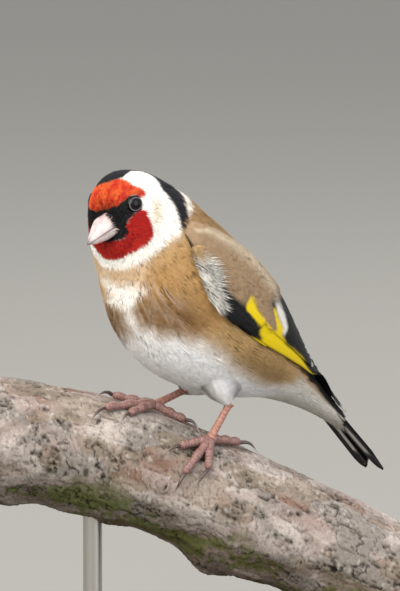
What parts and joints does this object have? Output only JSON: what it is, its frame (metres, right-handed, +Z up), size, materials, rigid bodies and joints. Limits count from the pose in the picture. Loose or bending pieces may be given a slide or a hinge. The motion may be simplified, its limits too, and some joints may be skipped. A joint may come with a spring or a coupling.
{
  "type": "european goldfinch",
  "caption": "Life-size still model of a small seed-eating songbird perched on a cut length of branch, held by a flat round base with short rods",
  "frame": {"origin": "centre of the underside of the round base, on the floor", "axes": "+Z up; the bird's body faces -Y, its left side is +X, and its head is turned to its left; the perch runs towards +X and +Y"},
  "size_m": [0.0979, 0.1148, 0.1429],
  "materials": {
    "plumage": "soft matt body feathers",
    "face": "short dense face feathers",
    "flight": "smooth black vanes with a yellow band",
    "bill": "satin horn",
    "eye": "wet and glossy",
    "leg": "fine scales, satin",
    "claw": "satin horn",
    "bark": "rough bark with lichen",
    "wood": "oiled",
    "rod": "satin"
  },
  "bodies": {
    "root": {"torso": "plumage", "neck": "plumage", "head": "face", "bill_upper": "bill", "bill_lower": "bill", "eye_left": "eye", "eye_right": "eye", "wing_left": "flight", "wing_right": "flight", "tail": "flight", "thigh_left": "plumage", "thigh_right": "plumage", "tarsus_left": "leg", "tarsus_right": "leg", "foot_left": "leg", "foot_right": "leg", "perch": "bark", "stand_base": "wood", "stand_rod_1": "rod", "stand_rod_2": "rod", "claw_left_inner": "claw", "claw_left_middle": "claw", "claw_left_outer": "claw", "claw_left_hind": "claw", "claw_right_inner": "claw", "claw_right_middle": "claw", "claw_right_outer": "claw", "claw_right_hind": "claw"}
  },
  "joints": []
}
